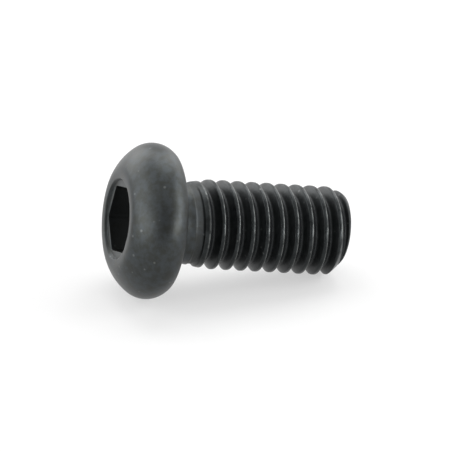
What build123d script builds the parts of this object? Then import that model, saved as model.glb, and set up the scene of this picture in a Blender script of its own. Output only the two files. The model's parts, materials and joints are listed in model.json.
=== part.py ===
"""Button head screw with a hexagon socket, M6 x 1 x 12, in black oxide steel.

The screw is one piece: its head is forged from wire, its socket is punched and its thread is rolled. It is
built along +Z, where z = 0 is the bearing face under the head and z rises towards the tip. It is then laid
down as it comes to rest on a table, on the rim of its head and on one of its last crests. The laid screw has
+Z up, its tip towards +X and its origin at the centre of the bearing face.
All sizes are in millimetres, and all angles are in degrees.
"""

import os
from math import asin, atan2, ceil, cos, degrees, hypot, radians, tan

from build123d import *

# Head
head_diameter = 10.05  # at the widest point of the rim
head_height = 3.34  # from the bearing face to the crown
rim_height = 1.19  # from the bearing face to the widest point
rim_arc_radius = 1.58  # of the rim's round edge, in section
rim_arc_angle = 34.0  # that the edge turns above the widest point before the dome takes over
crown_diameter = 6.4  # of the flat on top of the dome
underhead_blend_radius = 0.4  # of the blend between the bearing face and the neck

# Socket
socket_across_flats = 4.15
socket_depth = 2.1  # from the crown to where the corners end
socket_floor_angle = 140.0  # included angle of the cone that the punch leaves in the floor
socket_turn = 12.5  # of one corner, about the screw's axis
recess_diameter = 5.22  # of the shallow round recess about the socket's mouth, at the crown
recess_depth = 0.2
recess_wall_angle = 25.0  # of the recess's wall, away from the screw's axis

# Shank and thread
screw_length = 11.8  # from the bearing face to the tip: nominally 12
pitch = 1.0
thread_angle = 60.0  # included angle of a groove
thread_diameter = 5.8  # over the crests
pitch_diameter = 5.3
minor_diameter = 4.68  # at the bottom of the grooves
groove_height = 0.766  # of the middle of the groove where it passes the screw's underside, or whole turns away
neck_diameter = 5.22  # of the bare shank under the head, as it was before rolling
neck_length = 1.75  # from the bearing face to where the neck slopes down to the grooves
neck_slope_length = 0.5
runout_start = 1.05  # from the bearing face to where the crests begin to rise out of the neck
runout_length = 1.7  # along the axis, until the crests reach their full height

# Tip
tip_diameter = 4.76  # over the crests at the very end, where the wire was pointed before rolling
tip_taper_length = 0.8  # over which the crests come down to it
tip_edge_length = 0.06  # of the bevel round the end
tip_offset = 0.19  # of the middle of the end from the screw's axis, because the wire was sheared off
tip_offset_turn = 194.0  # of that offset, about the screw's axis

# How far a body that is cut away or joined on runs past the surface that it meets
overlap = 0.1

# Sizes that follow from the ones above
head_radius = head_diameter / 2
crown_radius = crown_diameter / 2
rim_centre_radius = head_radius - rim_arc_radius
underside_angle = degrees(asin(rim_height / rim_arc_radius))
bearing_radius = rim_centre_radius + rim_arc_radius * cos(radians(underside_angle))
recess_radius = recess_diameter / 2
recess_floor_radius = recess_radius - recess_depth * tan(radians(recess_wall_angle))
socket_corner_radius = socket_across_flats / 2 / cos(radians(30))
thread_radius = thread_diameter / 2
minor_radius = minor_diameter / 2
neck_radius = neck_diameter / 2
tip_radius = tip_diameter / 2
taper_start = screw_length - tip_taper_length


def groove_half_width(radius):
    """Half the width of the thread's groove at a distance from the axis: half a pitch wide at pitch diameter."""
    return pitch / 4 + (radius - pitch_diameter / 2) * tan(radians(thread_angle / 2))


def make_head():
    """The button head, the bare neck under it and the slope where the neck meets the grooves."""
    slope_end = neck_length + neck_slope_length
    blend_end = neck_radius + underhead_blend_radius
    rim_turn = underside_angle + rim_arc_angle
    with BuildPart() as head:
        with BuildSketch(Plane.XZ):
            with BuildLine():
                rim = CenterArc((rim_centre_radius, -rim_height), rim_arc_radius, underside_angle, -rim_turn)
                TangentArc(rim @ 1, (crown_radius, -head_height), tangent=rim % 1)
                Line((bearing_radius, 0), (blend_end, 0))
                Spline((blend_end, 0), (neck_radius, underhead_blend_radius), tangents=[(-1, 0), (0, 1)])
                Polyline(
                    (neck_radius, underhead_blend_radius),
                    (neck_radius, neck_length),
                    (minor_radius - overlap, slope_end),
                    (0, slope_end),
                    (0, -head_height),
                    (crown_radius, -head_height),
                )
            make_face()
        revolve(axis=Axis.Z)
    return head.part


def make_groove():
    """The V that rolling presses into the shank, a right-handed helix, as one solid for each half turn."""
    outer_radius = thread_radius + overlap
    inner_half_width = groove_half_width(minor_radius)
    outer_half_width = groove_half_width(outer_radius)
    section = Polyline(
        (minor_radius, 0, -inner_half_width),
        (outer_radius, 0, -outer_half_width),
        (outer_radius, 0, outer_half_width),
        (minor_radius, 0, inner_half_width),
        close=True,
    )
    start = groove_height - 2 * pitch
    half_turn = sweep(make_face(section), path=Helix(pitch, pitch / 2, minor_radius), is_frenet=True)
    half_turn_count = ceil(2 * (screw_length - start) / pitch) + 1
    return [
        Pos(0, 0, start + index * pitch / 2) * Rotation(0, 0, index * 180) * half_turn
        for index in range(half_turn_count)
    ]


def make_tip():
    """The end of the blank, which narrows to one side, so that a lip is left opposite."""
    end_middle = Rotation(0, 0, tip_offset_turn) * Pos(tip_offset, 0, 0)
    rings = [
        Pos(0, 0, taper_start) * Circle(thread_radius),
        Pos(0, 0, screw_length - tip_edge_length) * end_middle * Circle(tip_radius),
        Pos(0, 0, screw_length) * end_middle * Circle(tip_radius - tip_edge_length),
    ]
    return loft(rings, ruled=True)


def make_thread():
    """The threaded length, whose crests rise out of the neck and come down again towards the tip."""
    runout_rise = (thread_radius - neck_radius) / runout_length
    bottom = runout_start - pitch
    with BuildPart() as blank:
        with BuildSketch(Plane.XZ):
            with BuildLine():
                Polyline(
                    (0, bottom),
                    (neck_radius - pitch * runout_rise, bottom),
                    (thread_radius, runout_start + runout_length),
                    (thread_radius, taper_start),
                    (0, taper_start),
                    close=True,
                )
            make_face()
        revolve(axis=Axis.Z)
    return blank.part + make_tip() - make_groove()


def make_socket():
    """The metal that the punch displaces: the round recess, the hexagon and the shallow cone in its floor."""
    floor_rise = socket_corner_radius / tan(radians(socket_floor_angle / 2))
    floor = socket_depth - head_height
    hexagon = RegularPolygon(socket_corner_radius, 6, rotation=socket_turn)
    prism = extrude(Plane.XY.offset(-head_height - overlap) * hexagon, socket_depth + floor_rise + overlap)
    punch_section = Polyline(
        (0, -head_height - overlap),
        (socket_corner_radius + overlap, -head_height - overlap),
        (socket_corner_radius + overlap, floor - overlap / tan(radians(socket_floor_angle / 2))),
        (0, floor + floor_rise),
        close=True,
    )
    punch = revolve(Plane.XZ * make_face(punch_section), Axis.Z)
    recess_flare = overlap * tan(radians(recess_wall_angle))
    recess_section = Polyline(
        (0, -head_height - overlap),
        (recess_radius + recess_flare, -head_height - overlap),
        (recess_floor_radius, recess_depth - head_height),
        (0, recess_depth - head_height),
        close=True,
    )
    recess = revolve(Plane.XZ * make_face(recess_section), Axis.Z)
    return (prism & punch) + recess


def underside_radius(height):
    """Distance from the axis to the thread's surface on the screw's underside, past the run-out."""
    end_radius = tip_radius + tip_offset * cos(radians(tip_offset_turn))
    taper = max(0, height - taper_start) / (tip_taper_length - tip_edge_length)
    blank_radius = thread_radius - taper * (thread_radius - end_radius)
    from_groove = abs((height - groove_height + pitch / 2) % pitch - pitch / 2)
    flank_radius = pitch_diameter / 2 + (from_groove - pitch / 4) / tan(radians(thread_angle / 2))
    return min(blank_radius, flank_radius)


def resting_tilt():
    """Angle that the axis dips below level at the tip, with the rim of the head and a crest on the table."""
    tilts = []
    height = runout_start + runout_length
    while height < screw_length - tip_edge_length:
        run = height + rim_height
        drop = rim_centre_radius - underside_radius(height)
        tilts.append(degrees(atan2(drop, run) + asin(rim_arc_radius / hypot(run, drop))))
        height += pitch / 1000
    return min(tilts)


def make_screw():
    """The whole screw, laid down with its tip towards +X."""
    upright = make_head() + make_thread() - make_socket()
    return upright.rotate(Axis.Y, 90 + resting_tilt())


screw = make_screw()
screw.label = "button_head_screw"
print(f"The axis dips {resting_tilt():.2f} degrees, and the screw's volume is {screw.volume:.1f} mm3.")

os.makedirs("parts", exist_ok=True)
export_step(screw, "parts/button_head_screw.step")
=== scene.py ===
"""Looks of a button head screw, M6 x 1 x 12, in black oxide steel, lying on its side.

The screw is modelled in millimetres about its own axis: z = 0 is the bearing face under the head and z rises
towards the tip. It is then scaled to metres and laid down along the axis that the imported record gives.
"""

import json
import logging
import math
from dataclasses import dataclass, field
from enum import Enum

import bmesh
import bpy
from mathutils import Matrix, Vector

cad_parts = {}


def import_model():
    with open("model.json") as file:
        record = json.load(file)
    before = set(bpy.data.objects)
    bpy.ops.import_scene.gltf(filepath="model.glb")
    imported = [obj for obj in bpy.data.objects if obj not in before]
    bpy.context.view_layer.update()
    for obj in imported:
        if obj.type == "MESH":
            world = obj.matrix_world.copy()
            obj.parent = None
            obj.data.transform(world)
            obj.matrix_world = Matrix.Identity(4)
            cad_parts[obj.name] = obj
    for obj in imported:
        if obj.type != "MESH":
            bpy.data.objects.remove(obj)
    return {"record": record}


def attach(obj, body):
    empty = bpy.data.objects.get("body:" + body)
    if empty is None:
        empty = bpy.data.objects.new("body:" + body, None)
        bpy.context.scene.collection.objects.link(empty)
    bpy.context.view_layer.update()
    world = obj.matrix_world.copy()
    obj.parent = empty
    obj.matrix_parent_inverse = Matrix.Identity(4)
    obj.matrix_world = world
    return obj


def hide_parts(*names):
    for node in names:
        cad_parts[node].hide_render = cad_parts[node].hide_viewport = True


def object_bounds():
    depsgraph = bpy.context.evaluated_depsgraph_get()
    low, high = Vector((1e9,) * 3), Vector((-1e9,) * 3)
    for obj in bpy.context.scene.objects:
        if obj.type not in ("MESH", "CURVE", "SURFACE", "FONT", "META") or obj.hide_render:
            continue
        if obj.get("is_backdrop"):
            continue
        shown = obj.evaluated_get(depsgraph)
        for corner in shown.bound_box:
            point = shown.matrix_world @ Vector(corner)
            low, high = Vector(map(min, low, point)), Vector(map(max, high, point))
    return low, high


NODE = "button_head_screw"
MM = 0.001
AROUND = 144  # steps of a full turn about the axis
SIDES = 6  # of the socket
MERGE_DISTANCE = 0.002  # between points that are one, in millimetres
TRIM_DISTANCE = 0.0001  # within which a point lies on the cut, in millimetres
LEAST_BLEND = 0.02  # share of a blend that is left where it would vanish
WHITE = "#ffffff"
log = logging.getLogger("screw")


class Role(Enum):
    """What a vertex of the screw is, kept in a layer that the finish reads as an attribute."""

    # Bare steel on the crests' tip-facing edges, which is wear and also a painted highlight.
    EDGE_WEAR_AND_HIGHLIGHT = "edge_wear_and_highlight"
    GROOVE = "groove"
    ROLLED = "rolled"
    # Painted shade in the socket and on the recess's wall.
    PAINTED_SHADE = "painted_shade"


def polar(radius: float, height: float, turn: float = 0.0) -> Vector:
    """Gives a point by its distance from the axis, its height and its angle in degrees."""
    angle = math.radians(turn)
    return Vector((radius * math.cos(angle), radius * math.sin(angle), height))


def clamp(value: float) -> float:
    """Gives the value, held between 0 and 1."""
    return min(max(value, 0.0), 1.0)


def smooth_min(a: float, b: float, blend: float) -> float:
    """Gives the smaller of two lengths, rounded over where they are within a blend of each other.

    Args:
        a: First length.
        b: Second length.
        blend: Difference over which the two are blended.

    Returns:
        The smaller length, less a little where the two are close.
    """
    near = max(blend - abs(a - b), 0.0) / blend
    return min(a, b) - near * near * blend / 4


def smooth_max(a: float, b: float, blend: float) -> float:
    """Gives the larger of two lengths, rounded over where they are within a blend of each other."""
    return -smooth_min(-a, -b, blend)


def soften(bm: bmesh.types.BMesh, geom: list, affect: str, size: float, segments: int = 3) -> list:
    """Rounds edges or corners.

    Args:
        bm: Mesh that they are in.
        geom: The edges, or the vertices of a line.
        affect: "EDGES" or "VERTICES".
        size: Length that the rounding takes off each side.
        segments: Steps that the rounding has.

    Returns:
        The rounding's vertices.
    """
    made = bmesh.ops.bevel(
        bm,
        geom=geom,
        offset=size,
        offset_type="OFFSET",
        affect=affect,
        segments=segments,
        profile=0.5,
        material=-1,
    )
    return made["verts"]


def spin(bm: bmesh.types.BMesh, rise: float = 0.0) -> None:
    """Spins all that a mesh holds once about the axis, and joins the end to the beginning if they meet.

    Args:
        bm: The mesh.
        rise: Height that the turn gains.
    """
    bmesh.ops.spin(
        bm,
        geom=bm.verts[:] + bm.edges[:],
        cent=(0, 0, 0),
        axis=(0, 0, 1),
        dvec=(0, 0, rise / AROUND),
        angle=math.tau,
        steps=AROUND,
        use_merge=not rise,
        use_duplicate=False,
    )


def extrude(bm: bmesh.types.BMesh, edges: list) -> tuple[list, list]:
    """Extrudes a loop of edges in place.

    Args:
        bm: Mesh that the loop is in.
        edges: Edges of the loop.

    Returns:
        The new loop's vertices and its edges.
    """
    made = bmesh.ops.extrude_edge_only(bm, edges=edges)["geom"]
    verts = [item for item in made if isinstance(item, bmesh.types.BMVert)]
    fresh = set(verts)
    edges = [item for item in made if isinstance(item, bmesh.types.BMEdge)]
    return verts, [edge for edge in edges if set(edge.verts) <= fresh]


def open_edges(bm: bmesh.types.BMesh, height: float) -> list:
    """Gives the open edges of a wall at a height."""
    ends = [edge for edge in bm.edges if edge.is_boundary]
    return [edge for edge in ends if abs(edge.verts[0].co.z - height) < MERGE_DISTANCE]


def layer(bm: bmesh.types.BMesh, role: Role) -> bmesh.types.BMLayerItem:
    """Gives the vertex layer that holds a role, and makes it if it isn't there yet."""
    layers = bm.verts.layers.float
    return layers.get(role.value) or layers.new(role.value)


@dataclass
class Outline:
    """An open line of edges in the half plane y = 0, which spinning turns into a wall.

    Attributes:
        bm: Mesh that the line is drawn in.
        last: Vertex at the line's free end.
        verts: Vertices of the line so far, in order.
    """

    bm: bmesh.types.BMesh
    last: bmesh.types.BMVert
    verts: list = field(default_factory=list)

    @classmethod
    def start(cls, bm: bmesh.types.BMesh, radius: float, height: float) -> "Outline":
        """Starts a line at a distance from the axis and a height."""
        vert = bm.verts.new(polar(radius, height))
        return cls(bm, vert, [vert])

    def line(self, radius: float, height: float, steps: int = 1) -> bmesh.types.BMVert:
        """Draws a straight run to a point.

        Args:
            radius: Distance of the run's end from the axis.
            height: Height of the run's end.
            steps: Edges that the run has.

        Returns:
            The vertex at the run's end.
        """
        begin, end = self.last.co.copy(), polar(radius, height)
        for step in range(1, steps + 1):
            self._join(self.bm.verts.new(begin.lerp(end, step / steps)))
        return self.last

    def arc(self, radius: float, height: float, sweep: float, steps: int) -> bmesh.types.BMVert:
        """Draws an arc about a centre, from the line's free end.

        Args:
            radius: Distance of the arc's centre from the axis.
            height: Height of the arc's centre.
            sweep: Angle that the arc turns, in degrees, from +X towards +Z where it is positive.
            steps: Edges that the arc has.

        Returns:
            The vertex at the arc's end.
        """
        spun = bmesh.ops.spin(
            self.bm,
            geom=[self.last],
            cent=polar(radius, height),
            axis=(0, -1, 0),
            dvec=(0, 0, 0),
            angle=math.radians(sweep),
            steps=steps,
            use_merge=False,
            use_duplicate=False,
        )
        end = next(item for item in spun["geom_last"] if isinstance(item, bmesh.types.BMVert))
        walk, previous = self.last, self.verts[-2] if len(self.verts) > 1 else None
        while walk is not end:
            following = next(
                edge.other_vert(walk) for edge in walk.link_edges if edge.other_vert(walk) is not previous
            )
            previous, walk = walk, following
            self.verts.append(walk)
        self.last = end
        return end

    def _join(self, vert: bmesh.types.BMVert) -> None:
        """Carries the line on to a new vertex."""
        self.bm.edges.new((self.last, vert))
        self.verts.append(vert)
        self.last = vert

    def round_corner(self, vert: bmesh.types.BMVert, size: float, segments: int = 3) -> None:
        """Rounds a corner of the line.

        Args:
            vert: Vertex at the corner.
            size: Length that the rounding takes off each side.
            segments: Edges that the rounding has.
        """
        at = self.verts.index(vert)
        before, after = self.verts[at - 1], self.verts[at + 1]
        rounding = set(soften(self.bm, [vert], "VERTICES", size, segments))
        walk, previous, ordered = before, None, []
        while walk is not after:
            previous, walk = walk, next(
                edge.other_vert(walk)
                for edge in walk.link_edges
                if edge.other_vert(walk) is not previous
                and (edge.other_vert(walk) in rounding or walk in rounding)
            )
            ordered.append(walk)
        self.verts[at : at + 2] = ordered


@dataclass
class Head:
    """The button head, its rim and the bearing face under it.

    Attributes:
        diameter: At the widest point of the rim.
        height: From the bearing face to the crown.
        rim_height: From the bearing face to the widest point.
        rim_radius: Of the rim's round edge, in section.
        rim_angle: That the edge turns above the widest point, in degrees.
        crown_diameter: Of the flat on top of the dome.
        crown_rounding: Radius of the round between that flat and the dome, in section.
        bearing_rounding: Of the edge between the rim and the bearing face.
        blend_radius: Of the fillet between the bearing face and the neck.
        neck_diameter: Of the bare shank under the head.
        recess_diameter: Of the round recess about the socket's mouth, at the crown.
        recess_floor_diameter: Of the recess at its floor.
        recess_depth: From the crown to the recess's floor.
        recess_rounding: Of the recess's edge at the crown. The edge at its floor has half of it.
        floor_ring: Width of the recess's floor that is spun with the head.
    """

    diameter: float = 10.05
    height: float = 3.34
    rim_height: float = 1.19
    rim_radius: float = 1.58
    rim_angle: float = 34.0
    crown_diameter: float = 6.4
    crown_rounding: float = 1.2
    bearing_rounding: float = 0.12
    blend_radius: float = 0.4
    neck_diameter: float = 5.22
    recess_diameter: float = 5.22
    recess_floor_diameter: float = 5.034
    recess_depth: float = 0.2
    recess_rounding: float = 0.06
    floor_ring: float = 0.06

    def build(self, neck_end: float) -> bmesh.types.BMesh:
        """Spins the head's section into its wall, which is open at the recess's floor and at the neck.

        Args:
            neck_end: Height at which the neck's wall ends.

        Returns:
            The head's wall.
        """
        bm = bmesh.new()
        rim_centre = self.diameter / 2 - self.rim_radius
        underside = math.degrees(math.asin(self.rim_height / self.rim_radius))
        neck = self.neck_diameter / 2
        recess, floor = self.recess_floor_diameter / 2, self.recess_depth - self.height
        outline = Outline.start(bm, recess - self.floor_ring, floor)
        floor_edge = outline.line(recess, floor)
        lip = outline.line(self.recess_diameter / 2, -self.height)
        dome, round_centre, round_end = self._dome()
        outline.line(round_centre.x, -self.height)
        outline.arc(round_centre.x, round_centre.z, 90 - round_end, steps=16)
        outline.arc(dome.x, dome.z, round_end - self.rim_angle, steps=12)
        bearing_edge = outline.arc(rim_centre, -self.rim_height, self.rim_angle + underside, steps=24)
        outline.line(neck + self.blend_radius, 0, steps=6)
        outline.arc(neck + self.blend_radius, self.blend_radius, -90, steps=6)
        outline.line(neck, neck_end, steps=3)
        outline.round_corner(floor_edge, self.recess_rounding / 2)
        outline.round_corner(lip, self.recess_rounding, segments=4)
        outline.round_corner(bearing_edge, self.bearing_rounding, segments=4)
        spin(bm)
        return bm

    def _dome(self) -> tuple[Vector, Vector, float]:
        """Finds the arc of the dome, which meets the rim's arc without a corner, and the round above it.

        Returns:
            The dome's centre, the centre of the round between dome and crown, and the angle in degrees below
            +X at which the two meet.
        """
        angle = math.radians(self.rim_angle)
        outward = Vector((math.cos(angle), 0, -math.sin(angle)))
        end = Vector((self.diameter / 2 - self.rim_radius, 0, -self.rim_height)) + self.rim_radius * outward
        chord = Vector((self.crown_diameter / 2, 0, -self.height)) - end
        radius = chord.length_squared / (-2 * chord.dot(outward))
        dome = end - outward * radius
        drop = dome.z - (self.crown_rounding - self.height)
        across = math.sqrt((radius - self.crown_rounding) ** 2 - drop**2)
        round_centre = Vector((dome.x + across, 0, dome.z - drop))
        return dome, round_centre, math.degrees(math.atan2(drop, across))


@dataclass
class Socket:
    """The hexagon that the key turns, and the cone in its floor.

    Attributes:
        across_flats: Of the hexagon.
        depth: From the crown to where the corners end.
        floor_angle: Included angle of the floor's cone, in degrees.
        turn: Of one corner about the axis, in degrees.
        corner_rounding: Of the six upright corners.
        mouth_rounding: Of the edge at the mouth.
        floor_rings: Rings of faces that the cone has round its middle.
        floor_step: Size of each ring, as a share of the one outside it.
    """

    across_flats: float = 4.15
    depth: float = 2.1
    floor_angle: float = 140.0
    turn: float = 12.5
    corner_rounding: float = 0.05
    mouth_rounding: float = 0.035
    floor_rings: int = 4
    floor_step: float = 0.6

    def sink(self, bm: bmesh.types.BMesh, ring: list, crown: float) -> None:
        """Sinks the hexagon from the ring that bounds the recess's floor.

        Args:
            bm: Mesh of the head.
            ring: Edges of the ring.
            crown: Height of the crown.
        """
        half_side = 180 / SIDES
        corner = self.across_flats / 2 / math.cos(math.radians(half_side))
        slope = 1 / math.tan(math.radians(self.floor_angle / 2))
        floor = crown + self.depth + corner * slope
        mouth, rim = extrude(bm, ring)
        for vert in mouth:
            past_corner = math.degrees(math.atan2(vert.co.y, vert.co.x)) % (2 * half_side)
            side = self.across_flats / 2 / math.cos(math.radians(past_corner - half_side))
            reach = smooth_min(side, corner - self.corner_rounding, self.corner_rounding)
            vert.co.xy *= reach / vert.co.xy.length
        wall, edges = extrude(bm, rim)
        for vert in wall:
            vert.co.z = floor - vert.co.xy.length * slope
        for _ in range(self.floor_rings):
            inner, edges = extrude(bm, edges)
            bmesh.ops.scale(bm, vec=(self.floor_step, self.floor_step, 1), verts=inner)
            for vert in inner:
                vert.co.z = floor - vert.co.xy.length * slope
        bottom, _ = extrude(bm, edges)
        bmesh.ops.pointmerge(bm, verts=bottom, merge_co=(0, 0, floor))
        soften(bm, rim, "EDGES", self.mouth_rounding)


@dataclass
class Thread:
    """The rolled thread, which runs out of the neck and comes down towards the tip.

    Attributes:
        pitch: From one crest to the next.
        angle: Included angle of a groove, in degrees.
        diameter: Over the crests.
        pitch_diameter: Where groove and crest are equally wide.
        root_radius: Of the round bottom of a groove.
        crest_rounding: Of the two edges of a crest.
        groove_height: Height of a groove's middle where it crosses the +X side, or whole turns away.
        neck_diameter: Of the bare shank.
        neck_length: Height at which the neck slopes down to the grooves.
        neck_slope: Length of that slope.
        runout_start: Height at which the crests begin to rise out of the neck.
        runout_length: Over which they reach their full height.
        length: Height of the tip.
        tip_diameter: Over the crests at the very end.
        tip_taper: Length over which the crests come down to it.
        tip_edge: Of the bevel round the end.
        tip_offset: Of the middle of the end from the axis.
        tip_offset_turn: Direction of that offset, in degrees from the +X side.
        lip_height: That the end reaches further out on the offset's side.
        neck_joint: Length of the plain ring that joins the thread to the head's neck.
        wear_and_highlight_width: How far the wear and painted highlight reach from the edge of a crest that
            faces the tip.
        spare_turns: Turns spun beyond each end, which are cut off again.
        slope_sink: How far below the pitch line the neck's slope has come at its end.
        rise_blend: Rounding of the run-out's beginning, as a share of the run-out.
        crest_blend: Rounding where the rising crests reach their full height.
        taper_blend: Rounding where the taper begins.
        edge_blend: Rounding between the taper and the bevel round the end.
        cut_blend: Rounding of the edges that run-out and taper cut into a crest.
        floor_blend: Rounding between neck and grooves at the end of the run-out, and less below it.
        tip_rings: The end face's rings, each by its share of the one outside it and how much deeper it lies.
        tip_dish: How deep the end face's middle lies.
    """

    pitch: float = 1.0
    angle: float = 60.0
    diameter: float = 5.8
    pitch_diameter: float = 5.3
    root_radius: float = 0.125
    crest_rounding: float = 0.09
    groove_height: float = 0.8007
    neck_diameter: float = 5.22
    neck_length: float = 1.75
    neck_slope: float = 0.5
    runout_start: float = 1.05
    runout_length: float = 1.7
    length: float = 11.8
    tip_diameter: float = 4.76
    tip_taper: float = 0.8
    tip_edge: float = 0.06
    tip_offset: float = 0.19
    tip_offset_turn: float = 181.5
    lip_height: float = 0.08
    neck_joint: float = 0.1
    wear_and_highlight_width: float = 0.06
    spare_turns: float = 1.5
    slope_sink: float = 0.31
    rise_blend: float = 0.2
    crest_blend: float = 0.05
    taper_blend: float = 0.08
    edge_blend: float = 0.04
    cut_blend: float = 0.03
    floor_blend: float = 0.08
    tip_rings: tuple[tuple[float, float], ...] = ((0.97, 0), (0.88, 0), (0.76, 0.015), (0.54, 0.02))
    tip_dish: float = 0.045

    def build(self, neck_end: float) -> bmesh.types.BMesh:
        """Spins one turn of the thread as a helix, stacks its copies up the shank and closes the tip.

        Args:
            neck_end: Height of the open ring that meets the head's neck.

        Returns:
            The thread's wall.
        """
        bm = bmesh.new()
        start = neck_end + self.neck_joint
        self._section(bm, start - self.spare_turns * self.pitch)
        spin(bm, self.pitch)
        turns = 1
        while turns * self.pitch < self.length - start + 2 * self.spare_turns * self.pitch:
            copy = bmesh.ops.duplicate(bm, geom=bm.verts[:] + bm.edges[:] + bm.faces[:])["geom"]
            copied = [item for item in copy if isinstance(item, bmesh.types.BMVert)]
            bmesh.ops.translate(bm, vec=(0, 0, turns * self.pitch), verts=copied)
            turns *= 2
        bmesh.ops.remove_doubles(bm, verts=bm.verts[:], dist=MERGE_DISTANCE)
        self._trim(bm, start, side=-1)
        self._trim(bm, self.length, side=1)
        # The wear, which is also a painted highlight, fades where the crests are cut down and before the
        # run-out.
        wear_and_highlight = layer(bm, Role.EDGE_WEAR_AND_HIGHLIGHT)
        for vert in bm.verts:
            full = vert.co.xy.length
            self._settle(vert)
            trimmed = (full - vert.co.xy.length) / (self.diameter - self.neck_diameter)
            vert[wear_and_highlight] *= clamp(1 - trimmed)
            vert[wear_and_highlight] *= clamp((vert.co.z - self.runout_start) / self.pitch)
        ends = [edge for edge in bm.edges if edge.is_boundary]
        middle = (start + self.length) / 2
        self._close_tip(bm, [edge for edge in ends if edge.verts[0].co.z > middle])
        ring, _ = extrude(bm, [edge for edge in ends if edge.verts[0].co.z < middle])
        for vert in ring:
            step = round(math.atan2(vert.co.y, vert.co.x) / math.tau * AROUND)
            vert.co = polar(self.neck_diameter / 2, neck_end, 360 * step / AROUND)
        return bm

    def _section(self, bm: bmesh.types.BMesh, above: float) -> None:
        """Draws one pitch of the thread from crest to crest, about the first groove above a height."""
        wear_and_highlight, groove = layer(bm, Role.EDGE_WEAR_AND_HIGHLIGHT), layer(bm, Role.GROOVE)
        half_angle = math.radians(self.angle / 2)
        crest = self.diameter / 2
        apex = self.pitch_diameter / 2 - self.pitch / 4 / math.tan(half_angle)
        root_centre = apex + self.root_radius / math.sin(half_angle)
        crest_half = self.pitch / 4 + (crest - self.pitch_diameter / 2) * math.tan(half_angle)
        middle = self.groove_height + math.ceil((above - self.groove_height) / self.pitch) * self.pitch
        tangent = root_centre - self.root_radius * math.sin(half_angle)
        tangent_half = self.root_radius * math.cos(half_angle)
        outline = Outline.start(bm, crest, middle - self.pitch / 2)
        low_edge = outline.line(crest, middle - crest_half, steps=2)
        outline.line(tangent, middle - tangent_half, steps=7)
        outline.arc(root_centre, middle, self.angle - 180, steps=8)
        high_edge = outline.line(crest, middle + crest_half, steps=7)
        outline.line(crest, middle + self.pitch / 2, steps=2)
        outline.round_corner(low_edge, self.crest_rounding, segments=4)
        outline.round_corner(high_edge, self.crest_rounding, segments=4)
        depth = crest - apex - self.root_radius
        # The crests' edges that face the tip get wear that is also a painted highlight, as those are the
        # edges lit by the lamps on that side.
        for vert in outline.verts:
            offset = abs(abs(vert.co.z - middle) - crest_half)
            on_edge = vert.co.z < middle and crest - vert.co.x < self.wear_and_highlight_width
            vert[wear_and_highlight] = max(0.0, 1 - offset / self.wear_and_highlight_width) if on_edge else 0.0
            vert[groove] = (crest - vert.co.x) / depth

    def _trim(self, bm: bmesh.types.BMesh, height: float, side: int) -> None:
        """Cuts the wall level and removes what lies beyond the cut, above it for side 1 and below for -1."""
        bmesh.ops.bisect_plane(
            bm,
            geom=bm.verts[:] + bm.edges[:] + bm.faces[:],
            dist=TRIM_DISTANCE,
            plane_co=(0, 0, height),
            plane_no=(0, 0, side),
            use_snap_center=False,
            clear_outer=True,
            clear_inner=False,
        )

    def _settle(self, vert: bmesh.types.BMVert) -> None:
        """Brings a vertex in to the thread's run-out and taper, and out to the neck and its slope."""
        height, radius = vert.co.z, vert.co.xy.length
        crest, neck, tip = self.diameter / 2, self.neck_diameter / 2, self.tip_diameter / 2
        risen = (height - self.runout_start) / self.runout_length
        rise = smooth_max(risen, 0.0, self.rise_blend)
        envelope = smooth_min(crest, neck + rise * (crest - neck), self.crest_blend)
        fall = (height - self.length + self.tip_taper) / (self.tip_taper - self.tip_edge)
        towards_lip = vert.co.xy.normalized().dot(polar(1, 0, self.tip_offset_turn).xy)
        tip += self.tip_offset * towards_lip
        envelope = smooth_min(envelope, crest - fall * (crest - tip), self.taper_blend)
        bevel = tip - self.tip_edge + self.length - height
        envelope = smooth_min(envelope, bevel, self.edge_blend)
        settled = smooth_min(radius, envelope, self.cut_blend)
        slope = max((height - self.neck_length) / self.neck_slope, 0.0)
        floor = neck - slope * (neck - self.pitch_diameter / 2 + self.slope_sink)
        settled = smooth_max(settled, floor, self.floor_blend * max(clamp(risen), LEAST_BLEND))
        vert.co.xy *= settled / radius
        vert.co.z -= max(0.0, fall) ** 2 * self.lip_height * (1 - towards_lip) / 2

    def _close_tip(self, bm: bmesh.types.BMesh, edges: list) -> None:
        """Closes the end with a face that is slightly dished."""
        middle = polar(self.tip_offset, self.length - self.lip_height / 2, self.tip_offset_turn)
        for share, sink in self.tip_rings:
            ring, edges = extrude(bm, edges)
            for vert in ring:
                vert.co = middle.lerp(vert.co, share)
                vert.co.z -= sink
        last, _ = extrude(bm, edges)
        bmesh.ops.pointmerge(bm, verts=last, merge_co=middle - Vector((0, 0, self.tip_dish)))


def srgb(code: str) -> tuple[float, float, float, float]:
    """Turns an sRGB hex value into the linear colour that a shader takes."""
    parts = [int(code[at : at + 2], 16) / 255 for at in (1, 3, 5)]
    linear = [part / 12.92 if part <= 0.04045 else ((part + 0.055) / 1.055) ** 2.4 for part in parts]
    return (*linear, 1.0)


def add_node(tree: bpy.types.NodeTree, kind: str, settings: dict | None = None, **links) -> bpy.types.Node:
    """Adds a node with its settings and its links.

    Args:
        tree: Node tree that takes the node.
        kind: Type of the node, without its "ShaderNode" beginning.
        settings: Values of its properties, by name, and of its input sockets, by name or number.
        **links: Output sockets that go into the inputs of these names, with _ for a space.

    Returns:
        The new node.
    """
    node = tree.nodes.new("ShaderNode" + kind)
    for name, value in (settings or {}).items():
        if isinstance(name, int) or name in node.inputs:
            node.inputs[name].default_value = value
        else:
            setattr(node, name, value)
    for name, output in links.items():
        key = int(name[1:]) if name[1:].isdigit() else name.replace("_", " ")
        tree.links.new(output, node.inputs[key])
    return node


def empty_tree(owner: bpy.types.Material | bpy.types.World) -> bpy.types.NodeTree:
    """Turns on the nodes of a material or a world, and gives its tree without any."""
    owner.use_nodes = True
    owner.node_tree.nodes.clear()
    return owner.node_tree


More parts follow.
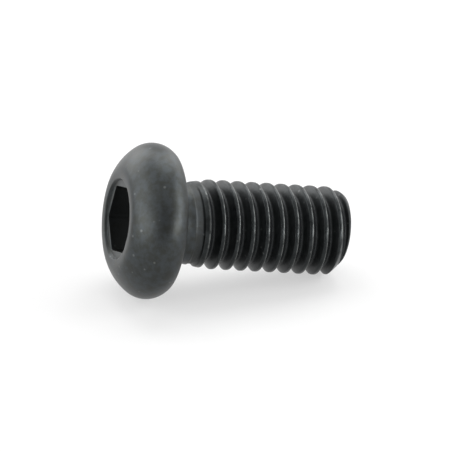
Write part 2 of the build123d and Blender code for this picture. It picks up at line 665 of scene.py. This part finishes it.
def seen_rays(tree: bpy.types.NodeTree) -> bpy.types.NodeSocket:
    """Gives 1 to the rays that show a thing, straight or in a reflection, and 0 to the rest."""
    rays = add_node(tree, "LightPath").outputs
    seen = rays["Is Camera Ray"]
    for name in ("Is Glossy Ray", "Is Transmission Ray"):
        seen = add_node(tree, "Math", {"operation": "MAXIMUM"}, _0=seen, _1=rays[name]).outputs[0]
    return seen


@dataclass(frozen=True)
class Graph:
    """A material's node tree, and the few kinds of step that the finish is made of.

    Attributes:
        tree: The node tree.
        place: Each point's place on the object, in metres.
        octave_strength: Of each octave of noise, as a share of the coarser one's.
    """

    tree: bpy.types.NodeTree
    place: bpy.types.NodeSocket
    octave_strength: float = 0.6

    def noise(self, size: float, octaves: float) -> bpy.types.NodeSocket:
        """Gives noise with patches of a size in millimetres, over finer octaves of itself."""
        settings = {"Scale": 1 / (size * MM), "Detail": octaves, "Roughness": self.octave_strength}
        return add_node(self.tree, "TexNoise", settings, Vector=self.place).outputs["Fac"]

    def role(self, role: Role) -> bpy.types.NodeSocket:
        """Gives the value of a role's vertex layer."""
        return add_node(self.tree, "Attribute", {"attribute_name": role.value}).outputs["Fac"]

    def ramp(self, value: bpy.types.NodeSocket, low: float, high: float) -> bpy.types.NodeSocket:
        """Stretches a value so that it runs from 0 at low to 1 at high, with soft ends."""
        settings = {"interpolation_type": "SMOOTHSTEP", "From Min": low, "From Max": high}
        return add_node(self.tree, "MapRange", settings, Value=value).outputs[0]

    def number(self, share: bpy.types.NodeSocket, first: float, second: float) -> bpy.types.NodeSocket:
        """Gives a number that runs from first to second as the share goes from 0 to 1."""
        return add_node(self.tree, "MapRange", {"To Min": first, "To Max": second}, Value=share).outputs[0]

    def combine(self, operation: str, *values: bpy.types.NodeSocket) -> bpy.types.NodeSocket:
        """Adds, multiplies or otherwise takes together two or more values."""
        total = values[0]
        for value in values[1:]:
            total = add_node(self.tree, "Math", {"operation": operation}, _0=total, _1=value).outputs[0]
        return total

    def blend(
        self,
        share: bpy.types.NodeSocket,
        first: bpy.types.NodeSocket | tuple,
        second: bpy.types.NodeSocket | tuple,
    ) -> bpy.types.NodeSocket:
        """Mixes two colours, each a value or an output, by a share that is 0 for the first."""
        ends = {6: first, 7: second}
        values = {slot: end for slot, end in ends.items() if isinstance(end, tuple)}
        links = {f"_{slot}": end for slot, end in ends.items() if not isinstance(end, tuple)}
        return add_node(self.tree, "Mix", {"data_type": "RGBA", **values}, Factor=share, **links).outputs[2]


@dataclass(frozen=True)
class BlackOxideSteel:
    """Black oxide on forged and rolled alloy steel, lightly oiled.

    The oxide is a thin skin over metal, so it takes dim, soft reflections. On the forged head it is
    mottled in patches, with a few pale specks where scale came away. The rolled shank was burnished by
    the dies, so it is darker and sharper. Broken lines of bare steel along the crests' edges that face the
    tip are handling wear and also a painted highlight. The socket and the recess's wall are darkened with
    painted shade.

    Attributes:
        name: Of the material.
        thin: Colour where the oxide on the head is thin.
        thick: Colour where it is thick.
        rolled_thin: Colour where the oxide on the shank is thin.
        rolled_thick: Colour where it is thick.
        painted_shade_colour: Colour of the painted shade in the socket and on the recess's wall.
        bare_and_highlight: Colour of bare steel in the specks, and of the painted highlight on the crests'
            edges.
        metallic: Of the open skin, whose pores scatter a little light. It is 1 in the socket.
        head_roughness: Middle roughness of the forged skin.
        shank_roughness: Middle roughness of the rolled skin.
        groove_dulling: What soot adds to the roughness at the bottom of the grooves.
        groove_soot: Share of the metal that soot hides at the bottom of the grooves.
        patch: Size of the oxide's patches, in millimetres.
        grain: Size of the skin's grain, in millimetres.
        speck_spacing: Mean distance between the places a speck can be, in millimetres.
        speck_size: Radius of a speck, as a share of that distance.
        speck_share: Share of those places that have one.
        speck_bareness: How bare the steel is in a speck.
        patch_contrast: Values of the noise at which the oxide is thickest and thinnest.
        patch_roughness: What the patches add to the roughness or take from it.
        grain_roughness: What the grain adds to it or takes from it.
        grain_strength: Of the grain's bump.
        grain_depth: Of the grain's bump, in millimetres.
        break_size: Of the breaks in the worn, painted-highlight lines, in millimetres.
        break_contrast: Values of the noise at which the lines are least and most worn and bright.
        break_bareness_and_highlight: How bare and bright the steel is there.
    """

    name: str = "steel_black_oxide"
    thin: str = "#3d4143"
    thick: str = "#353735"
    rolled_thin: str = "#2b2e2f"
    rolled_thick: str = "#202324"
    # Painted shade: near-black colour given to the socket and the recess's wall.
    painted_shade_colour: str = "#181919"
    # Bare steel colour, also used for the painted highlight on the crests' edges.
    bare_and_highlight: str = "#a3a6a4"
    metallic: float = 0.8
    head_roughness: float = 0.38
    shank_roughness: float = 0.28
    groove_dulling: float = 0.22
    groove_soot: float = 0.27
    patch: float = 0.5
    grain: float = 0.11
    speck_spacing: float = 0.55
    speck_size: float = 0.2
    speck_share: float = 0.3
    speck_bareness: float = 0.16
    patch_contrast: tuple[float, float] = (0.34, 0.66)
    patch_roughness: float = 0.05
    grain_roughness: float = 0.04
    grain_strength: float = 0.35
    grain_depth: float = 0.01
    break_size: float = 0.4
    break_contrast: tuple[float, float] = (0.4, 0.6)
    break_bareness_and_highlight: tuple[float, float] = (0.15, 0.5)

    def make(self) -> bpy.types.Material:
        """Builds the material."""
        material = bpy.data.materials.new(self.name)
        tree = empty_tree(material)
        graph = Graph(tree, add_node(tree, "TexCoord").outputs["Object"])
        clouds, grain = graph.noise(self.patch, octaves=4), graph.noise(self.grain, octaves=3)
        rolled, groove, painted_shade = (graph.role(role) for role in (Role.ROLLED, Role.GROOVE, Role.PAINTED_SHADE))
        patches = graph.ramp(clouds, *self.patch_contrast)
        forged = graph.blend(patches, srgb(self.thick), srgb(self.thin))
        drawn = graph.blend(patches, srgb(self.rolled_thick), srgb(self.rolled_thin))
        # Painted shade: the socket and the recess's wall take a near-black colour and full metal in place of
        # the oxide.
        oxide = graph.blend(painted_shade, graph.blend(rolled, forged, drawn), srgb(self.painted_shade_colour))
        metal = graph.combine(
            "ADD",
            graph.number(painted_shade, self.metallic, 1.0),
            graph.number(groove, 0.0, -self.groove_soot),
        )
        rough = graph.combine(
            "ADD",
            graph.number(clouds, -self.patch_roughness, self.patch_roughness),
            graph.number(grain, -self.grain_roughness, self.grain_roughness),
            graph.number(rolled, self.head_roughness, self.shank_roughness),
            graph.number(groove, 0.0, self.groove_dulling),
        )
        relief = {"Strength": self.grain_strength, "Distance": self.grain_depth * MM}
        shader = add_node(
            tree,
            "BsdfPrincipled",
            Base_Color=graph.blend(self._bare_and_highlit(graph, painted_shade), oxide, srgb(self.bare_and_highlight)),
            Metallic=metal,
            Roughness=rough,
            Normal=add_node(tree, "Bump", relief, Height=grain).outputs["Normal"],
        )
        add_node(tree, "OutputMaterial", Surface=shader.outputs["BSDF"])
        return material

    def _bare_and_highlit(self, graph: Graph, painted_shade: bpy.types.NodeSocket) -> bpy.types.NodeSocket:
        """Gives how bare the steel is in specks on open skin, and the broken lines on the crests' edges,
        which are wear and also a painted highlight.
        """
        # Painted highlight and wear: broken bright lines on the crests' tip-facing edges.
        breaks = graph.ramp(graph.noise(self.break_size, octaves=3), *self.break_contrast)
        bareness_and_highlight = graph.number(breaks, *self.break_bareness_and_highlight)
        lines = graph.combine("MULTIPLY", graph.role(Role.EDGE_WEAR_AND_HIGHLIGHT), bareness_and_highlight)
        scale = {"Scale": 1 / (self.speck_spacing * MM)}
        cells = add_node(graph.tree, "TexVoronoi", scale, Vector=graph.place)
        near = graph.ramp(cells.outputs["Distance"], self.speck_size, self.speck_size / 2)
        chance = add_node(graph.tree, "SeparateColor", Color=cells.outputs["Color"]).outputs["Red"]
        few = {"operation": "LESS_THAN", 1: self.speck_share}
        chosen = add_node(graph.tree, "Math", few, _0=chance).outputs[0]
        specks = graph.combine("MULTIPLY", near, chosen, graph.number(painted_shade, self.speck_bareness, 0.0))
        return graph.combine("MAXIMUM", lines, specks)


@dataclass
class Screw:
    """The whole screw: head, socket and thread in one skin.

    Attributes:
        head: The button head.
        socket: The hexagon in it.
        thread: The shank behind it.
        finish: What the skin is made of.
        neck_end: Height at which the head's wall meets the thread's.
        rolled_from: Height at which the forged skin begins to give way to the rolled one.
        rolled_over: Length over which it does so.
        painted_shade_depth: Depth below the recess's floor at which the painted shade is darkest.
        mouth_painted_shade: Share of that darkness at the socket's mouth.
        wall_painted_shade: Share of it at the foot of the recess's wall.
        wall_margin: How far inside that wall a point still counts as its foot.
    """

    head: Head = field(default_factory=Head)
    socket: Socket = field(default_factory=Socket)
    thread: Thread = field(default_factory=Thread)
    finish: BlackOxideSteel = field(default_factory=BlackOxideSteel)
    neck_end: float = 0.7
    rolled_from: float = 1.2
    rolled_over: float = 0.8
    painted_shade_depth: float = 1.5
    mouth_painted_shade: float = 0.8
    wall_painted_shade: float = 0.4
    wall_margin: float = 0.01

    def build(self, axis: Vector) -> bpy.types.Object:
        """Builds the screw's skin and lays it down.

        Args:
            axis: Direction from the head towards the tip, in the part's frame.

        Returns:
            The finished object.
        """
        recess_floor = self.head.recess_depth - self.head.height
        bm = self.head.build(self.neck_end)
        self.socket.sink(bm, open_edges(bm, recess_floor), -self.head.height)
        self._add_shank(bm)
        self._mark(bm)
        self._lay(bm, axis)
        mesh = bpy.data.meshes.new("screw")
        bm.to_mesh(mesh)
        bm.free()
        mesh.shade_smooth()
        mesh.materials.append(self.finish.make())
        screw = bpy.data.objects.new("screw", mesh)
        bpy.context.scene.collection.objects.link(screw)
        return screw

    def _add_shank(self, bm: bmesh.types.BMesh) -> None:
        """Builds the thread's wall and joins it to the head's."""
        shank = self.thread.build(self.neck_end)
        skin = bpy.data.meshes.new("shank")
        shank.to_mesh(skin)
        shank.free()
        bm.from_mesh(skin)
        bpy.data.meshes.remove(skin)
        seam = [vert for vert in bm.verts if abs(vert.co.z - self.neck_end) < MERGE_DISTANCE]
        bmesh.ops.remove_doubles(bm, verts=seam, dist=MERGE_DISTANCE)
        bmesh.ops.recalc_face_normals(bm, faces=bm.faces[:])

    def _mark(self, bm: bmesh.types.BMesh) -> None:
        """Marks how far each vertex belongs to the rolled shank, and how dark the painted shade makes it in
        the socket and on the recess's wall.
        """
        rolled, painted_shade = layer(bm, Role.ROLLED), layer(bm, Role.PAINTED_SHADE)
        floor = self.head.recess_depth - self.head.height
        for vert in bm.verts:
            height, radius = vert.co.z, vert.co.xy.length
            vert[rolled] = clamp((height - self.rolled_from) / self.rolled_over)
            # Painted shade: the recess's wall gets a share of it, and the socket darkens from its mouth down
            # towards near black.
            if height < 0 and radius < self.head.recess_diameter / 2:
                deep = min((height - floor) / self.painted_shade_depth, 1.0)
                if radius > self.head.recess_floor_diameter / 2 - self.wall_margin:
                    vert[painted_shade] = self.wall_painted_shade
                elif height - floor > self.socket.mouth_rounding / 2:
                    vert[painted_shade] = self.mouth_painted_shade + (1 - self.mouth_painted_shade) * deep

    def _lay(self, bm: bmesh.types.BMesh, axis: Vector) -> None:
        """Turns the screw from its own axis to the one it lies along, and scales it to metres."""
        side = Vector((0, 1, 0))
        turn = Matrix((side.cross(axis), side, axis)).transposed().to_4x4()
        turn @= Matrix.Rotation(math.radians(self.socket.turn), 4, "Z")
        bmesh.ops.transform(bm, matrix=Matrix.Scale(MM, 4) @ turn, verts=bm.verts[:])


@dataclass(frozen=True)
class Lamp:
    """A soft box.

    Attributes:
        name: What it is called.
        azimuth: Of its place about the screw, in degrees, from -Y towards +X.
        elevation: Of its place, in degrees.
        width: Of its face, in millimetres.
        height: Of its face, in millimetres.
        brightness: Of its face, where white paper in full light is 1.
    """

    name: str
    azimuth: float
    elevation: float
    width: float
    height: float
    brightness: float


@dataclass
class Studio:
    """The table, the lights and the camera.

    Attributes:
        target: Point that the camera looks at, in millimetres.
        azimuth: Of the camera about the target, in degrees, from -Y towards +X.
        elevation: Of the camera above the horizon, in degrees.
        distance: From the camera to the target, in millimetres.
        focal_over_frame: The lens's focal length over the width of its picture.
        sensor_width: Of the camera, in millimetres.
        view_depth: Nearest and farthest that the camera sees, in metres.
        table_reach: From the table's middle to its sides, in millimetres.
        paper: Colour of the table.
        paper_glow: What the table shows besides, to the rays that see it, so that it looks white.
        room_light: Strength of the room's own light.
        room_shown: Brightness of the room where it is seen, which is white at 1.
        lamp_distance: From the lamps and the card to the target, in millimetres.
        card_width: Of the card round the lens, in millimetres.
        card_height: Of that card, in millimetres.
        card_elevation: Of its middle, in degrees.
        card_brightness: Of its face, where white is 1.
        lamps: The soft boxes.
    """

    target: tuple[float, float, float] = (3.646, -1.220, -0.244)
    azimuth: float = -16.788
    elevation: float = 23.314
    distance: float = 260.0
    focal_over_frame: float = 4052 / 452
    sensor_width: float = 36.0
    view_depth: tuple[float, float] = (0.01, 10.0)
    table_reach: float = 1500.0
    paper: str = "#b8b8b8"
    paper_glow: float = 0.52
    room_light: float = 0.3
    room_shown: float = 1.0
    lamp_distance: float = 220.0
    card_width: float = 360.0
    card_height: float = 230.0
    card_elevation: float = 20.0
    card_brightness: float = 0.42
    lamps: tuple[Lamp, ...] = (
        Lamp("lamp_right", 43, 1, 150, 90, 6.9),
        Lamp("lamp_right_high", 71, 28, 130, 150, 3.0),
        Lamp("lamp_right_back", 126, 30, 160, 140, 1.9),
        Lamp("lamp_top", 162, 59, 190, 160, 2.4),
        Lamp("lamp_left_back", -155, 25, 150, 120, 2.4),
        Lamp("lamp_left_high", -107, 28, 120, 150, 2.1),
        Lamp("lamp_left", -79, 8, 130, 120, 3.4),
    )

    def build(self, floor_height: float) -> None:
        """Builds the studio.

        Args:
            floor_height: Height of the table, in metres.
        """
        self._add_floor(floor_height)
        self._light_world()
        self._add_lamps()
        self._add_card()
        self._add_camera()

    def _add_floor(self, height: float) -> None:
        """Lays a white table under the screw."""
        bm = bmesh.new()
        bmesh.ops.create_grid(bm, x_segments=8, y_segments=8, size=self.table_reach * MM)
        bmesh.ops.translate(bm, vec=(0, 0, height), verts=bm.verts[:])
        mesh = bpy.data.meshes.new("table_top")
        bm.to_mesh(mesh)
        bm.free()
        floor = bpy.data.objects.new("table_top", mesh)
        bpy.context.scene.collection.objects.link(floor)
        material = bpy.data.materials.new("paper_matte_white")
        tree = empty_tree(material)
        paper = add_node(tree, "BsdfDiffuse", {"Color": srgb(self.paper)}).outputs[0]
        glow = add_node(tree, "Emission", {"Color": srgb(WHITE), "Strength": self.paper_glow}).outputs[0]
        both = add_node(tree, "AddShader", _0=paper, _1=glow).outputs[0]
        mix = add_node(tree, "MixShader", _0=seen_rays(tree), _1=paper, _2=both)
        add_node(tree, "OutputMaterial", Surface=mix.outputs[0])
        mesh.materials.append(material)
        floor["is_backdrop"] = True

    def _light_world(self) -> None:
        """Fills the room with an even light, and shows it white."""
        world = bpy.data.worlds.new("white_room")
        bpy.context.scene.world = world
        tree = empty_tree(world)
        light, shown = (
            add_node(tree, "Background", {"Color": srgb(WHITE), "Strength": strength}).outputs[0]
            for strength in (self.room_light, self.room_shown)
        )
        mix = add_node(tree, "MixShader", _0=seen_rays(tree), _1=light, _2=shown)
        add_node(tree, "OutputWorld", Surface=mix.outputs[0])

    def _add_lamps(self) -> None:
        """Hangs soft lamps above and beside the screw."""
        for lamp in self.lamps:
            data = bpy.data.lights.new(lamp.name, "AREA")
            data.shape = "RECTANGLE"
            data.size, data.size_y = lamp.width * MM, lamp.height * MM
            data.energy = lamp.brightness * math.pi * data.size * data.size_y
            box = bpy.data.objects.new(lamp.name, data)
            self._hang(box, lamp.azimuth, lamp.elevation, self.lamp_distance)

    def _add_card(self) -> None:
        """Stands a dark card round the lens, which shows only as the dark middle of the reflections."""
        bm = bmesh.new()
        bmesh.ops.create_grid(bm, x_segments=1, y_segments=1, size=0.5)
        size = (self.card_width * MM, self.card_height * MM, 1)
        bmesh.ops.scale(bm, vec=size, verts=bm.verts[:])
        mesh = bpy.data.meshes.new("dark_card")
        bm.to_mesh(mesh)
        bm.free()
        card = bpy.data.objects.new("dark_card", mesh)
        self._hang(card, self.azimuth, self.card_elevation, self.lamp_distance)
        card.visible_camera = card.visible_diffuse = card.visible_shadow = False
        material = bpy.data.materials.new("card_matte_grey")
        tree = empty_tree(material)
        glow = add_node(tree, "Emission", {"Color": srgb(WHITE), "Strength": self.card_brightness})
        add_node(tree, "OutputMaterial", Surface=glow.outputs[0])
        mesh.materials.append(material)
        card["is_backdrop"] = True

    def _hang(self, thing: bpy.types.Object, azimuth: float, elevation: float, distance: float) -> None:
        """Puts a thing at a place about the screw, turned to face it."""
        bpy.context.scene.collection.objects.link(thing)
        back = around(azimuth, elevation)
        thing.location = (Vector(self.target) + back * distance) * MM
        thing.rotation_euler = back.to_track_quat("Z", "Y").to_euler()

    def _add_camera(self) -> None:
        """Sets up the camera."""
        data = bpy.data.cameras.new("camera")
        data.sensor_width = self.sensor_width
        data.lens = self.focal_over_frame * self.sensor_width
        data.clip_start, data.clip_end = self.view_depth
        camera = bpy.data.objects.new("camera", data)
        self._hang(camera, self.azimuth, self.elevation, self.distance)
        bpy.context.scene.camera = camera


def around(azimuth: float, elevation: float) -> Vector:
    """Gives the direction from the screw towards a place about it, in degrees from -Y towards +X."""
    turn, lift = math.radians(azimuth), math.radians(elevation)
    return Vector((math.sin(turn) * math.cos(lift), -math.cos(turn) * math.cos(lift), math.sin(lift)))


def main() -> None:
    """Loads the frame, builds the screw on it and sets up the studio."""
    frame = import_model()
    cad_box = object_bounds()
    face = next(mount for mount in frame["record"]["mounts"] if mount["name"] == "bearing_face")
    screw = Screw().build(Vector(face["axis"]).normalized())
    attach(screw, "root")
    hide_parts(NODE)
    log.info("screw: %d faces", len(screw.data.polygons))
    Studio().build(cad_box[0].z)
    log.info("studio: table, lamps and camera")
    bpy.context.scene.view_settings.view_transform = "Standard"


if __name__ == "__main__":
    logging.basicConfig(level=logging.INFO)
    main()
